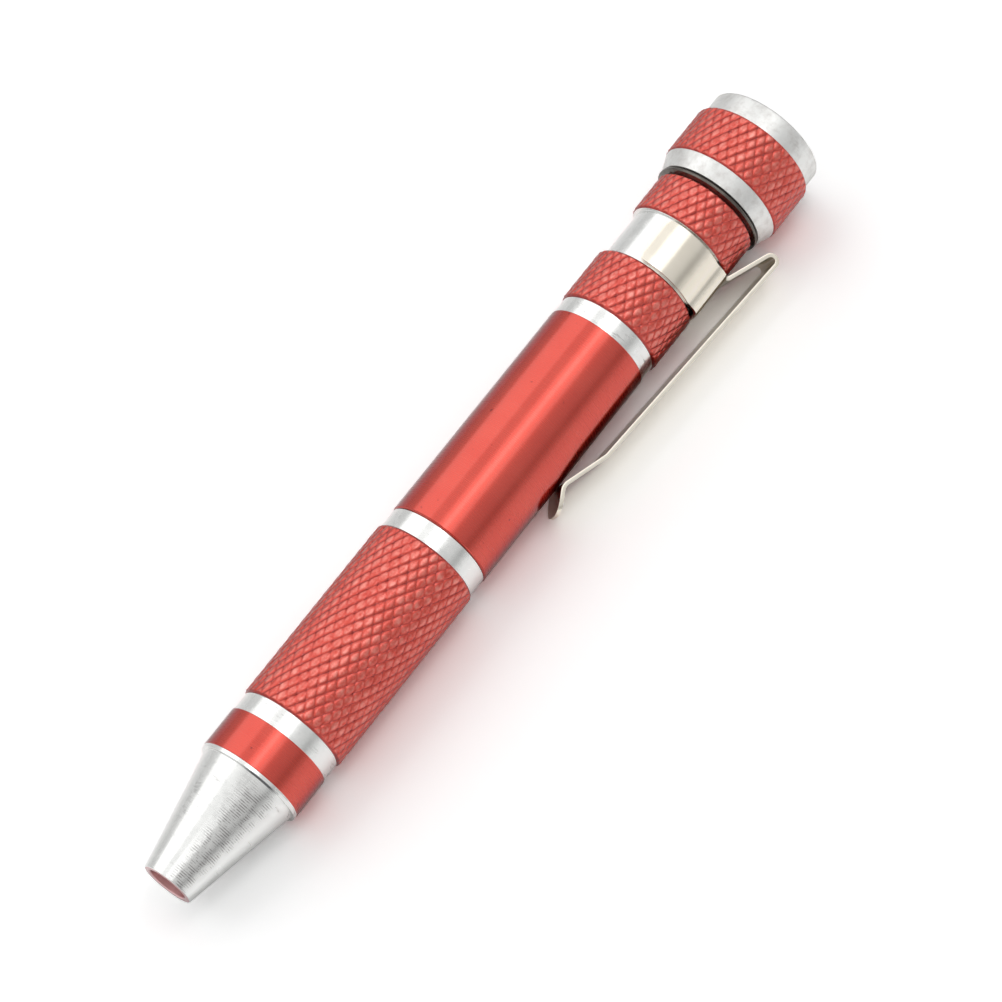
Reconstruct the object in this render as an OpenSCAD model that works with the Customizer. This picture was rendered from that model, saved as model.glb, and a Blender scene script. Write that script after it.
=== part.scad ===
// Pocket pen screwdriver that lies on its side, held from rolling by its clip.
// Every turned piece is drawn upright, measured along the pen from the face of the nose towards the cap,
// and is then laid down with the nose towards +X. The origin is the centre of the nose's face.

/* [Bits] */
// Width across the flats of every bit
bit_af = 4; // [3.6:0.1:4.4]
// Length of a bit, from its back end to its tip
bit_len = 28; // [25:1:30]
// Length of a bit's hexagonal shank
shank_len = 15; // [12:1:18]
// Chamfer on the back end of a bit
bit_chamfer = 0.4; // [0.2:0.1:0.6]
// Gap between two stored bits
bit_gap = 0.08; // [0.04:0.02:0.2]
// Gap between a bundle of four bits and its chamber
bundle_gap = 0.1; // [0.06:0.02:0.2]
// End play of the stored bits
bit_play = 0.3; // [0.2:0.1:0.6]
// Length over which a slotted bit is ground down to its blade
blade_len = 4.5; // [3:0.5:6]

/* [Slotted blades] */
// Blade width of the smallest slotted bit
blade_w_1 = 1.5; // [1.2:0.1:1.8]
// Blade width of the second slotted bit
blade_w_2 = 2; // [1.9:0.1:2.4]
// Blade width of the third slotted bit
blade_w_3 = 3; // [2.5:0.1:3.2]
// Blade width of the largest slotted bit
blade_w_4 = 3.5; // [3.3:0.1:3.6]
// Thickness of a blade at its edge, as a share of its width
blade_edge_share = 0.16; // [0.1:0.01:0.25]

/* [Cross points] */
// Neck diameter of the smallest cross bit
cross_d_1 = 1.5; // [1.2:0.1:1.8]
// Neck diameter of the second cross bit
cross_d_2 = 2; // [1.9:0.1:2.4]
// Neck diameter of the third cross bit
cross_d_3 = 3; // [2.5:0.1:3.2]
// Neck diameter of the largest cross bit
cross_d_4 = 3.6; // [3.3:0.1:3.6]
// Half the angle of a cross point's cone
cross_half_angle = 26.5; // [24:0.5:30]
// Radius of the blunt end of a cross point, as a share of its neck radius
cross_end_share = 0.28; // [0.2:0.02:0.4]
// Thickness of a wing of a cross point, as a share of its neck diameter
cross_wing_share = 0.2; // [0.15:0.01:0.3]

/* [Socket and magnet] */
// Depth of the hexagonal socket
socket_depth = 13; // [11:0.5:14]
// Gap on each side of a bit in the socket
socket_gap = 0.03; // [0.02:0.01:0.08]
// Depth of the round lead-in at the socket's mouth
lead_in_depth = 1.2; // [0.8:0.1:2]
// Gap between the lead-in and a bit's corners
lead_in_gap = 0.12; // [0.08:0.02:0.2]
// Thickness of the magnet
magnet_t = 1.5; // [1:0.25:2.5]
// Gap around the magnet
magnet_gap = 0.03; // [0.02:0.01:0.05]
// Solid web between the magnet and the front chamber
web_t = 2.2; // [1.6:0.1:4]

/* [Nose and grip] */
// Length of the bright cone, with its lip
nose_len = 15; // [14:0.25:16.5]
// Wall around the lead-in at the face of the nose
nose_wall = 0.82; // [0.5:0.02:1.2]
// Edge break on the face of the nose
nose_edge = 0.12; // [0.05:0.01:0.2]
// Step from the large end of the cone up to its lip
shoulder_h = 0.45; // [0.3:0.05:0.6]
// Width of the lip behind the cone
lip_w = 0.35; // [0.2:0.05:0.6]
// Depth of the lip below the smooth band
lip_drop = 0.05; // [0.02:0.01:0.1]
// Length of the smooth band behind the cone
band_len = 5.05; // [3:0.05:7]
// Width of the bright ring in front of the grip
front_ring_w = 2.45; // [1.5:0.05:4]
// Width of the bright ring behind the grip
mid_ring_w = 2.6; // [1.5:0.1:4]

/* [Barrel] */
// Wall of the tube round a chamber
wall = 1.15; // [1.1:0.05:1.6]
// Depth of the bright rings below the smooth tube
ring_drop = 0.12; // [0.05:0.01:0.2]
// Height of the knurled bands above the smooth tube
knurl_rise = 0.15; // [0.05:0.01:0.25]
// Chamfer at the ends of the knurled bands
knurl_edge = 0.25; // [0.1:0.05:0.35]
// Edge break where two turned pieces meet
seam_edge = 0.15; // [0.1:0.05:0.25]
// Length of the smooth barrel
barrel_len = 30.6; // [28:0.2:40]
// Width of the bright ring behind the smooth barrel
rear_ring_w = 2.3; // [1.5:0.1:4]
// Length of the knurled band in front of the clip
front_knurl_len = 7.3; // [5:0.1:9]
// Width of the groove for the clip
groove_w = 6.8; // [6.5:0.1:8]
// Depth of the clip's groove below the smooth tube
groove_depth = 0.5; // [0.4:0.05:0.6]
// Length of the knurled band behind the clip
rear_knurl_len = 5.5; // [5:0.1:7]

/* [Threads] */
// Step from a chamber out to the bore of its thread
thread_step = 0.3; // [0.2:0.05:0.35]
// Running gap round a thread
thread_gap = 0.05; // [0.03:0.01:0.08]
// Length of the barrel's threaded spigot, which closes the front chamber
spigot_len = 5; // [4:0.5:6]
// Length of the cap's threaded plug, which closes the rear chamber
plug_len = 4.5; // [3.5:0.5:5]
// Pitch of both threads
thread_pitch = 0.75; // [0.5:0.05:1]
// Depth of a thread's grooves
thread_depth = 0.3; // [0.2:0.05:0.4]
// Gap left at a tightened seam
seam_gap = 0.04; // [0.02:0.01:0.08]

/* [Cap] */
// Thickness of the plug's flange
flange_t = 0.65; // [0.5:0.05:1]
// Height of the flange above the smooth tube
flange_rise = 0.5; // [0.2:0.05:0.6]
// Gap between the flange and the crown
crown_gap = 0.11; // [0.05:0.01:0.2]
// Height of the crown above the smooth tube
crown_rise = 1.4; // [1.2:0.1:2]
// Length of the crown's bright bevel
bevel_len = 2.1; // [1.5:0.1:3]
// Drop of the bevel from its wide end to the crown's front
bevel_h = 0.8; // [0.5:0.05:1]
// Depth of the bevel's wide end below the crown's knurl
bevel_drop = 0.15; // [0.05:0.05:0.3]
// Length of the crown's knurled band
crown_knurl_len = 6.7; // [5.5:0.1:9]
// Radius of the rounded end of the crown's knurled band
crown_round = 0.4; // [0.3:0.05:0.5]
// Length of the bright band at the end of the crown
end_band_len = 2.9; // [2.4:0.1:4]
// Depth of the end band below the crown's knurl
end_band_drop = 0.55; // [0.45:0.05:0.8]
// Edge break at the end of the crown
end_edge = 0.3; // [0.2:0.05:0.4]
// Diameter of the spindle that the crown turns on
spindle_d = 6; // [5:0.5:7]
// Running gap round the spindle
spindle_gap = 0.05; // [0.03:0.01:0.08]
// Thickness of the swivel washer
washer_t = 0.5; // [0.3:0.1:0.8]
// Width of the swivel washer's ring
washer_w = 1.9; // [1.2:0.1:2.1]
// Gap round the washer, and between it and the crown
washer_gap = 0.03; // [0.02:0.01:0.05]
// Thickness of the retaining ring
ring_t = 0.6; // [0.4:0.1:0.8]
// Height of the retaining ring above the spindle
ring_h = 1.2; // [0.8:0.1:1.3]
// Depth of the retaining ring's groove in the spindle
ring_groove = 0.5; // [0.3:0.05:0.6]
// Gap on each side of the retaining ring
ring_gap = 0.03; // [0.02:0.01:0.05]
// Opening of the retaining ring
ring_mouth = 2; // [1.5:0.1:3]
// Length of the spindle behind its retaining ring
spindle_tail = 0.8; // [0.5:0.1:0.9]
// Thickness of the disc that closes the crown
disc_t = 1.5; // [1:0.1:1.8]
// Wall of the crown round that disc
disc_wall = 1.2; // [1:0.1:1.5]
// Gap round the disc
disc_gap = 0.02; // [0.01:0.01:0.03]

/* [Clip] */
// Thickness of the clip's spring steel
clip_t = 0.5; // [0.4:0.05:0.6]
// Width of the clip's arm
clip_w = 5.4; // [4.5:0.1:5.8]
// Width of the clip's band along the pen
clip_band_w = 6.1; // [5:0.1:6.4]
// Gap between the clip's band and the rear wall of its groove
clip_side_gap = 0.35; // [0.05:0.05:0.6]
// Gap between the clip's band and the floor of its groove
clip_fit = 0.02; // [0.01:0.01:0.05]
// How far the band wraps round the pen, each way from the arm
clip_wrap = 122; // [100:1:140]
// Gap between the clip's tongue and the edge of the rear knurled band
tongue_gap = 0.1; // [0.05:0.01:0.2]
// Distance from the groove back to the centre of the clip's U-bend
u_reach = 5.1; // [4.5:0.1:5.5]
// Radius of the U-bend, to the middle of the strip
u_r = 0.75; // [0.6:0.05:0.9]
// Height of the clip's outer surface at the U-bend above the smooth tube
clip_h = 3.9; // [3.6:0.05:4.6]
// Distance along the pen from the U-bend to the arm's first bend
arm_len = 30.8; // [26:0.1:34]
// Height of the arm's first bend above the smooth tube, to the middle of the strip
arm_h = 2.2; // [1.8:0.05:2.6]
// Distance along the pen from the first bend to the touching bend
toe_len = 7.3; // [5:0.1:9]
// Gap between the touching bend and the barrel
toe_gap = 0.04; // [0.02:0.01:0.1]
// Length along the pen of the flared tip
tip_len = 2.6; // [1.5:0.1:3.5]
// Height of the flared tip above the touching bend
tip_h = 1.6; // [0.8:0.05:2]
// Radius of the arm's bends, to the middle of the strip
bend_r = 1.4; // [0.6:0.1:1.6]
// Radius of the tip's two rounded corners
tip_corner = 1.8; // [0.5:0.1:2.2]
// Angle of the arm below the horizontal as the pen lies
clip_droop = 33; // [20:0.5:40]

/* [Hidden] */

// One overrun serves every cut
over = 1;
turned_fn = 96;
arc_steps = 8;

// Four hexagons stand two by two, corners up and down, and a circle round them sets the chamber
hex_corner_ratio = 1 / cos(30);
bit_flat_r = bit_af / 2;
bit_corner_r = bit_flat_r * hex_corner_ratio;
bundle_x = bit_corner_r + bit_gap / 2;
bundle_y = bit_flat_r + bit_gap / 2;
bundle_r = max(norm([bundle_x + bit_corner_r, bundle_y]),
    norm([bundle_x + bit_corner_r / 2, bundle_y + bit_flat_r]));
chamber_r = bundle_r + bundle_gap;

// Radii of the outside
tube_r = chamber_r + wall;
ring_r = tube_r - ring_drop;
knurl_r = tube_r + knurl_rise;
groove_r = tube_r - groove_depth;
lip_r = tube_r - lip_drop;
cone_r = lip_r - shoulder_h;
crown_r = tube_r + crown_rise;
bevel_r = crown_r - bevel_drop;
crown_front_r = bevel_r - bevel_h;
end_band_r = crown_r - end_band_drop;
flange_r = tube_r + flange_rise;

// Radii of the inside
socket_flat_r = bit_flat_r + socket_gap;
socket_corner_r = socket_flat_r * hex_corner_ratio;
lead_in_r = bit_corner_r + lead_in_gap;
nose_tip_r = lead_in_r + nose_wall;
magnet_r = socket_flat_r - magnet_gap;
thread_bore_r = chamber_r + thread_step;
thread_r = thread_bore_r - thread_gap;
spindle_r = spindle_d / 2;
crown_bore_r = spindle_r + spindle_gap;
washer_in_r = spindle_r + washer_gap;
washer_r = washer_in_r + washer_w;
ring_seat_r = spindle_r - ring_groove;
ring_out_r = spindle_r + ring_h;
ring_room_r = ring_out_r + 2 * spindle_gap;
disc_seat_r = end_band_r - disc_wall;

// Places along the pen, from the face of the nose
front_chamber_z = socket_depth + magnet_t + web_t;
spigot_z = front_chamber_z + bit_len + bit_play;
seam_z = spigot_z + spigot_len;
front_ring_z = nose_len + band_len;
grip_z = front_ring_z + front_ring_w;
mid_ring_z = seam_z - mid_ring_w;
barrel_z = seam_z + seam_gap;
rear_ring_z = seam_z + barrel_len;
front_knurl_z = rear_ring_z + rear_ring_w;
groove_z = front_knurl_z + front_knurl_len;
rear_knurl_z = groove_z + groove_w;
barrel_end_z = rear_knurl_z + rear_knurl_len;
plug_z = barrel_end_z - plug_len;
rear_chamber_z = plug_z - bit_play - bit_len;
flange_z = barrel_end_z + seam_gap;
flange_end_z = flange_z + flange_t;
crown_z = flange_end_z + crown_gap;
bevel_end_z = crown_z + bevel_len;
end_band_z = bevel_end_z + crown_knurl_len;
end_z = end_band_z + end_band_len;
washer_room_z = flange_end_z + washer_t + washer_gap;
disc_z = end_z - disc_t;
ring_z = disc_z - 2 * ring_gap - spindle_tail - ring_t - ring_mouth / 2;
hub_end_z = ring_z - ring_gap;
spindle_end_z = ring_z + ring_t + spindle_tail;

// Places of the clip, as [distance along the pen, height above the pen's axis]
band_z = rear_knurl_z - clip_side_gap - clip_band_w;
band_in_r = groove_r + clip_fit;
band_r = band_in_r + clip_t;
plate_h = band_in_r + clip_t / 2;
u_centre = [rear_knurl_z + u_reach, tube_r + clip_h - clip_t / 2 - u_r];
knurl_corner = [rear_knurl_z + knurl_edge, knurl_r];
corner_to_u = u_centre - knurl_corner;
tongue_over = clip_t / 2 + tongue_gap;
tongue_angle = atan2(corner_to_u[1], corner_to_u[0]) - asin((u_r + tongue_over) / norm(corner_to_u));
tongue_foot = [knurl_corner[0] - tongue_over * sin(tongue_angle)
    - (knurl_corner[1] + tongue_over * cos(tongue_angle) - plate_h) / tan(tongue_angle), plate_h];
first_bend = [u_centre[0] - arm_len, tube_r + arm_h];
toe = [first_bend[0] - toe_len, tube_r + toe_gap + clip_t / 2];
tip = [toe[0] - tip_len, toe[1] + tip_h];
bend_to_u = u_centre - first_bend;
arm_angle = atan2(bend_to_u[1], bend_to_u[0]) + asin(u_r / norm(bend_to_u));
split_gap = clip_fit;
split_angle = split_gap / u_r * 180 / PI;

function unit(v) = v / norm(v);

// Points on an arc, from one angle to another
function arc(centre, r, from, to, steps = arc_steps) =
    [for (i = [0:steps]) centre + r * [cos(from + (to - from) * i / steps), sin(from + (to - from) * i / steps)]];

// Arc that rounds the corner b of the path a, b, c
function round_corner(a, b, c, r) =
    let (back = unit(a - b),
        ahead = unit(c - b),
        half = acos(back * ahead) / 2,
        centre = b + unit(back + ahead) * r / sin(half),
        from = b + back * r / tan(half) - centre,
        start = atan2(from[1], from[0]),
        side = sign(cross(b - a, c - b)))
    arc(centre, r, start, start + side * (180 - 2 * half));

// Direction of a path at its point i
function heading(path, i) =
    unit((i > 0 ? unit(path[i] - path[i - 1]) : [0, 0])
        + (i < len(path) - 1 ? unit(path[i + 1] - path[i]) : [0, 0]));

// Outline of a strip of thickness t that follows a path. An end that starts or stops in the middle of an arc
// is cut square to the direction that first or last gives
function strip(path, t, first = undef, last = undef) =
    let (end = len(path) - 1,
        ways = [for (i = [0:end]) i == 0 && is_list(first) ? first
            : i == end && is_list(last) ? last : heading(path, i)],
        sides = [for (way = ways) t / 2 * [-way[1], way[0]]])
    concat([for (i = [0:end]) path[i] + sides[i]], [for (i = [end:-1:0]) path[i] - sides[i]]);

// Outline points [radius, place] of a knurled band with chamfered ends
function knurled_band(from, to) =
    [[knurl_r - knurl_edge, from], [knurl_r, from + knurl_edge], [knurl_r, to - knurl_edge],
        [knurl_r - knurl_edge, to]];

// Outline points of a thread's grooves, from one place to another
function thread_grooves(from, to) =
    let (turns = floor((to - from) / thread_pitch),
        start = (from + to - turns * thread_pitch) / 2)
    [for (i = [0:turns - 1]) each [
        [thread_r, start + i * thread_pitch],
        [thread_r - thread_depth, start + (i + 1 / 2) * thread_pitch],
        [thread_r, start + (i + 7 / 8) * thread_pitch]]];

module lay_down() rotate([0, -90, 0]) children();

// Solid of revolution from outline points [radius, place]
module turned(points) rotate_extrude($fn = turned_fn) polygon(points);

// Round hole or rod between two places
module round_bar(r, from, to) translate([0, 0, from]) cylinder(r = r, h = to - from, $fn = turned_fn);

module nose_grip() color("firebrick") lay_down() difference() {
    turned(concat(
        [[0, 0], [nose_tip_r - nose_edge, 0], [nose_tip_r, nose_edge]],
        [[cone_r, nose_len - lip_w - shoulder_h / 2], [lip_r, nose_len - lip_w], [lip_r, nose_len]],
        [[tube_r, nose_len], [tube_r, front_ring_z], [ring_r, front_ring_z], [ring_r, grip_z]],
        knurled_band(grip_z, mid_ring_z),
        [[ring_r, mid_ring_z], [ring_r, seam_z], [0, seam_z]]));
    round_bar(lead_in_r, -over, lead_in_depth);
    translate([0, 0, -over]) cylinder(r = socket_corner_r, h = socket_depth + over, $fn = 6);
    round_bar(socket_flat_r, -over, socket_depth + magnet_t);
    round_bar(chamber_r, front_chamber_z, seam_z + over);
    round_bar(thread_bore_r, spigot_z - bit_play / 2, seam_z + over);
}

module socket_magnet() color("silver") lay_down()
    round_bar(magnet_r, socket_depth, socket_depth + magnet_t);

module barrel() color("indianred") lay_down() difference() {
    turned(concat(
        [[0, spigot_z], [thread_r - thread_depth, spigot_z]],
        thread_grooves(spigot_z + thread_depth, barrel_z - thread_pitch),
        [[thread_r - thread_depth, barrel_z - thread_pitch / 2], [thread_r - thread_depth, barrel_z]],
        [[tube_r - seam_edge, barrel_z], [tube_r, barrel_z + seam_edge], [tube_r, rear_ring_z]],
        [[ring_r, rear_ring_z], [ring_r, front_knurl_z]],
        knurled_band(front_knurl_z, groove_z),
        [[groove_r, groove_z], [groove_r, rear_knurl_z]],
        knurled_band(rear_knurl_z, barrel_end_z),
        [[0, barrel_end_z]]));
    round_bar(chamber_r, rear_chamber_z, barrel_end_z + over);
    round_bar(thread_bore_r, plug_z - bit_play / 2, barrel_end_z + over);
}

module end_plug() color("lightgray") lay_down() turned(concat(
    [[0, plug_z], [thread_r - thread_depth, plug_z]],
    thread_grooves(plug_z + thread_depth, flange_z - thread_pitch),
    [[thread_r - thread_depth, flange_z - thread_pitch / 2], [thread_r - thread_depth, flange_z]],
    arc([flange_r - flange_t / 2, flange_z + flange_t / 2], flange_t / 2, -90, 90),
    [[spindle_r, flange_end_z], [spindle_r, ring_z - ring_gap], [ring_seat_r, ring_z - ring_gap]],
    [[ring_seat_r, ring_z + ring_t + ring_gap], [spindle_r, ring_z + ring_t + ring_gap]],
    [[spindle_r, spindle_end_z], [0, spindle_end_z]]));

module swivel_washer() color("whitesmoke") lay_down() difference() {
    round_bar(washer_r, flange_end_z, flange_end_z + washer_t);
    round_bar(washer_in_r, flange_end_z - over, flange_end_z + washer_t + over);
}

module swivel_crown() color("firebrick") lay_down() difference() {
    turned(concat(
        [[0, crown_z], [crown_front_r, crown_z], [bevel_r, bevel_end_z], [crown_r - knurl_edge, bevel_end_z]],
        [[crown_r, bevel_end_z + knurl_edge]],
        arc([crown_r - crown_round, end_band_z - crown_round], crown_round, 0, 90),
        [[end_band_r, end_band_z], [end_band_r, end_z - end_edge], [end_band_r - end_edge, end_z], [0, end_z]]));
    round_bar(crown_bore_r, crown_z - over, hub_end_z + over);
    round_bar(washer_r + washer_gap, crown_z - over, washer_room_z);
    round_bar(ring_room_r, hub_end_z, disc_z + over);
    round_bar(disc_seat_r, disc_z, end_z + over);
}

module retaining_ring() color("dimgray") lay_down() difference() {
    round_bar(ring_out_r, ring_z, ring_z + ring_t);
    round_bar(ring_seat_r + ring_gap, ring_z - over, ring_z + ring_t + over);
    translate([0, -ring_mouth / 2, ring_z - over]) cube([ring_out_r + over, ring_mouth, ring_t + 2 * over]);
}

module end_disc() color("lightgray") lay_down() round_bar(disc_seat_r - disc_gap, disc_z, end_z);

// Turns a strip, drawn as an outline of [place, height], to stand across the clip's direction
module across_clip(width) lay_down() rotate([0, 0, 90 + clip_droop])
    multmatrix([[0, 1, 0, 0], [0, 0, 1, 0], [1, 0, 0, 0]])
        translate([0, 0, -width / 2]) linear_extrude(width) children();

// Sector of the band's ring that the clip leaves open, opposite to its arm
module band_opening() {
    reach = 2 * band_r;
    translate([0, 0, band_z - over]) linear_extrude(clip_band_w + 2 * over)
        polygon([[0, 0], reach * [cos(clip_wrap), sin(clip_wrap)], [-reach, reach], [-reach, -reach],
            reach * [cos(clip_wrap), -sin(clip_wrap)]]);
}

module clip_band() color("lightgray") union() {
    lay_down() rotate([0, 0, 90 + clip_droop]) difference() {
        round_bar(band_r, band_z, band_z + clip_band_w);
        round_bar(band_in_r, band_z - over, band_z + clip_band_w + over);
        band_opening();
        translate([0, -clip_w / 2, tongue_foot[0]]) cube([band_r + over, clip_w, clip_band_w]);
    }
    across_clip(clip_w) polygon(strip(concat(
        [[band_z, plate_h]],
        round_corner([band_z, plate_h], tongue_foot, u_centre, bend_r),
        arc(u_centre, u_r, tongue_angle - 90, 0)), clip_t, last = [0, 1]));
}

module clip_arm() color("lightgray") intersection() {
    across_clip(clip_w) polygon(strip(concat(
        arc(u_centre, u_r, split_angle, 90 + arm_angle),
        round_corner(u_centre, first_bend, toe, bend_r),
        round_corner(first_bend, toe, tip, bend_r),
        [tip]), clip_t, first = [-sin(split_angle), cos(split_angle)]));
    lay_down() rotate([0, 0, 90 + clip_droop]) rotate([0, 90, 0]) linear_extrude(u_centre[1] + clip_w)
        translate([-u_centre[0], 0]) arm_plan();
}

// Plan of the arm with its rounded tip, measured from the centre of the U-bend
module arm_plan() {
    tip_x = u_centre[0] - tip[0] + clip_t / 2;
    difference() {
        translate([-2 * u_r, -clip_w / 2]) square([tip_x + 2 * u_r, clip_w]);
        for (side = [-1, 1]) translate([tip_x, side * clip_w / 2]) difference() {
            square(2 * tip_corner, center = true);
            translate([-tip_corner, -side * tip_corner]) circle(tip_corner, $fn = turned_fn);
        }
    }
}

// Solid of revolution of a bit, cut to its hexagon: the neck starts at the end of the shank
module bit_blank(neck_r, end_points) intersection() {
    turned(concat(
        [[0, 0], [bit_corner_r - bit_chamfer, 0], [bit_corner_r, bit_chamfer]],
        [[bit_corner_r, shank_len - (bit_corner_r - neck_r)], [neck_r, shank_len]],
        end_points,
        [[0, bit_len]]));
    cylinder(r = bit_corner_r, h = bit_len, $fn = 6);
}

module slotted_bit(blade_w) {
    edge = blade_w * blade_edge_share;
    difference() {
        bit_blank(blade_w / 2, [[blade_w / 2, bit_len]]);
        for (side = [-1, 1]) rotate([90, 0, 0]) translate([0, 0, -bit_af]) linear_extrude(2 * bit_af)
            polygon([[side * blade_w / 2, bit_len - blade_len], [side * edge / 2, bit_len],
                [side * edge / 2, bit_len + over], [side * (blade_w / 2 + over), bit_len + over],
                [side * (blade_w / 2 + over), bit_len - blade_len]]);
    }
}

module cross_bit(neck_d) {
    neck_r = neck_d / 2;
    end_r = neck_r * cross_end_share;
    wing = neck_d * cross_wing_share;
    cone_len = (neck_r - end_r) / tan(cross_half_angle);
    // A flute starts where its floor leaves the neck's surface
    flute_len = 2 * cone_len;
    difference() {
        bit_blank(neck_r, [[neck_r, bit_len - cone_len], [end_r, bit_len]]);
        for (quarter = [45:90:315]) rotate([0, 0, quarter]) translate([0, 0, bit_len])
            rotate([0, -atan2(neck_r, flute_len), 0]) translate([wing / sqrt(2), 0, -2 * flute_len])
                linear_extrude(3 * flute_len) polygon([[0, 0], [neck_d, neck_d], [neck_d, -neck_d]]);
    }
}

// Stands a bit in one of the four places of a chamber
module stored(chamber_z, side_x, side_y) lay_down()
    translate([side_x * bundle_x, side_y * bundle_y, chamber_z + bit_play / 2]) children();

module cross_bit_000() color("gray") stored(front_chamber_z, 1, 1) cross_bit(cross_d_1);

module cross_bit_00() color("gray") stored(front_chamber_z, 1, -1) cross_bit(cross_d_2);

module cross_bit_0() color("gray") stored(front_chamber_z, -1, 1) cross_bit(cross_d_3);

module cross_bit_1() color("gray") stored(front_chamber_z, -1, -1) cross_bit(cross_d_4);

module slotted_bit_1_5mm() color("gray") stored(rear_chamber_z, 1, 1) slotted_bit(blade_w_1);

module slotted_bit_2mm() color("gray") stored(rear_chamber_z, 1, -1) slotted_bit(blade_w_2);

module slotted_bit_3mm() color("gray") stored(rear_chamber_z, -1, 1) slotted_bit(blade_w_3);

module slotted_bit_3_5mm() color("gray") stored(rear_chamber_z, -1, -1) slotted_bit(blade_w_4);

nose_grip();
socket_magnet();
barrel();
clip_band();
clip_arm();
end_plug();
swivel_washer();
swivel_crown();
retaining_ring();
end_disc();
cross_bit_000();
cross_bit_00();
cross_bit_0();
cross_bit_1();
slotted_bit_1_5mm();
slotted_bit_2mm();
slotted_bit_3mm();
slotted_bit_3_5mm();
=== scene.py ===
from collections import namedtuple
from math import asin, atan2, cos, pi, radians, sin, sqrt, tan

import bmesh
import bpy
from mathutils import Matrix, Vector


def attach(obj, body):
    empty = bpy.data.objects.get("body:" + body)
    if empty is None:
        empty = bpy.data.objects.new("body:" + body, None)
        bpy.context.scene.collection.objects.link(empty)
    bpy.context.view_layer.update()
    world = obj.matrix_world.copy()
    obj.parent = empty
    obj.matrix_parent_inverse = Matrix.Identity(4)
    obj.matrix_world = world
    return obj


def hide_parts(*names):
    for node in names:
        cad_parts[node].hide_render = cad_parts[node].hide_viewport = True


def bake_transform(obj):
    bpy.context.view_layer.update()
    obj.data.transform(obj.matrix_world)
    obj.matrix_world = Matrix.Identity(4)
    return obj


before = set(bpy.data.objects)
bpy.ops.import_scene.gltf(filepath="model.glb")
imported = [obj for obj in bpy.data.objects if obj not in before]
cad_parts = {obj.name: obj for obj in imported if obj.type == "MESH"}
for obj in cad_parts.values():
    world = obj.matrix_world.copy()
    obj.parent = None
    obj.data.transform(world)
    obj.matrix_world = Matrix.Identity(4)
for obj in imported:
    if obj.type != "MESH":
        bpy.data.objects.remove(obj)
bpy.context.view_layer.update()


# Nose and grip. One bar of aluminium, turned, diamond knurled and anodised red, then cut bright again on the
# cone and the two rings. A hexagonal socket is broached in the nose, and the back is bored for the bits.

# Places run in mm from the face of the nose towards the cap, and radii in mm from the axis
SOCKET_FLAT, SOCKET_DEPTH = 2.03, 13  # half the width across flats
MAGNET_BOTTOM = 14.5  # of the pocket behind the socket
MOUTH_RADIUS, MOUTH_DEPTH = 2.429, 1.2
CONE_TIP_RADIUS, CONE_BASE_RADIUS, CONE_END = 3.249, 6.108, 14.5
STEP_RADIUS, STEP_END = 6.548, 15  # bare edge between the cone and the first red band
BAND_RADIUS, BAND_END = 6.598, 20.05  # the same radius as the barrel's
RING_RADIUS, RING_END = 6.478, 22.4  # of a ring that was cut bright
NECK_RADIUS = 6.4  # of the cut between a ring and a knurl
KNURL_RADIUS = 6.748
GRIP_KNURL = 22.5, 47.4  # from, to
SEAM = 50  # where the barrel meets the grip
BORE_RADIUS, BORE_BOTTOM = 5.748, 44.85
CHAMBER_RADIUS, CHAMBER_BOTTOM = 5.448, 16.7


def linear(hex_colour):
    """Linear RGBA of an sRGB colour such as #D94B42"""
    parts = [int(hex_colour[i:i + 2], 16) / 255 for i in (1, 3, 5)]
    return [part / 12.92 if part <= 0.04045 else ((part + 0.055) / 1.055) ** 2.4 for part in parts] + [1]


def add(tree, kind, sources=None, **settings):
    """Adds a node to a tree. A source is a value, a socket, or a node whose first output is meant"""
    node = tree.nodes.new(kind)
    for setting, value in settings.items():
        setattr(node, setting, value)
    for socket, source in (sources or {}).items():
        if isinstance(source, bpy.types.Node):
            source = source.outputs[0]
        if isinstance(source, bpy.types.NodeSocket):
            tree.links.new(source, node.inputs[socket])
        else:
            node.inputs[socket].default_value = source
    return node


def new_material(name):
    """An empty node material, and its tree"""
    material = bpy.data.materials.new(name)
    material.use_nodes = True
    material.node_tree.nodes.clear()
    return material, material.node_tree


# Red anodised aluminium. The dyed oxide is a clear, hard skin over bright turned metal, so the eye gets a
# saturated red that is as metallic as the bar beneath it, under a thin, whiter and sharper second gloss.
DYE = linear("#C83B2D")
DYE_WORN = linear("#D24D3D")
NICK_AND_SHADE_RED = linear("#A02C26")  # in nicks, and as painted shade in the knurl's grooves
WORN_AND_LIT_PINK = linear("#E8897C")  # on the tops of the knurl's diamonds: partly rubbed dye, partly a painted highlight
DYE_THIN = linear("#EDC2C2")  # in the nose's mouth, where bits have rubbed it
THIN_END = 0.9, 1.6  # mm, where the rubbed dye of the mouth begins and ends to deepen
TURNING_FEED = 0.09  # mm that the lathe tool moved in one turn
STREAK_LENGTH = 4.0  # mm round the bar over which a turning mark keeps its depth
DYE_CLOUD = 4.0  # mm, blotches of the dye bath
NICK_SPACING = 0.9  # mm
TOP_PATCH_SIZE = 1.1  # mm, patches of the knurl's tops that are rubbed and carry a painted highlight
GROOVE_SHADE_SIZE = 0.7  # mm, along the grooves
PRESSED_GRAIN = 0.3  # mm, grain that the knurling roller leaves
TURNING_SCALE = 1000 / TURNING_FEED, 1000 / STREAK_LENGTH, 1000 / STREAK_LENGTH

anodised, tree = new_material("anodised_aluminium")
spot = add(tree, "ShaderNodeTexCoord").outputs["Object"]
# Turning marks are rings, so their pattern is stretched across the bar and squeezed along it
marks = add(tree, "ShaderNodeMapping", {"Vector": spot, "Scale": TURNING_SCALE})
mark_height = add(tree, "ShaderNodeTexNoise", {"Vector": marks, "Scale": 1.0, "Detail": 1.0})
cloud = add(tree, "ShaderNodeTexNoise", {"Vector": spot, "Scale": 1000 / DYE_CLOUD, "Detail": 3.0})
colour = add(tree, "ShaderNodeMix", {0: cloud, 6: DYE, 7: DYE_WORN}, data_type="RGBA").outputs[2]
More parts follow.
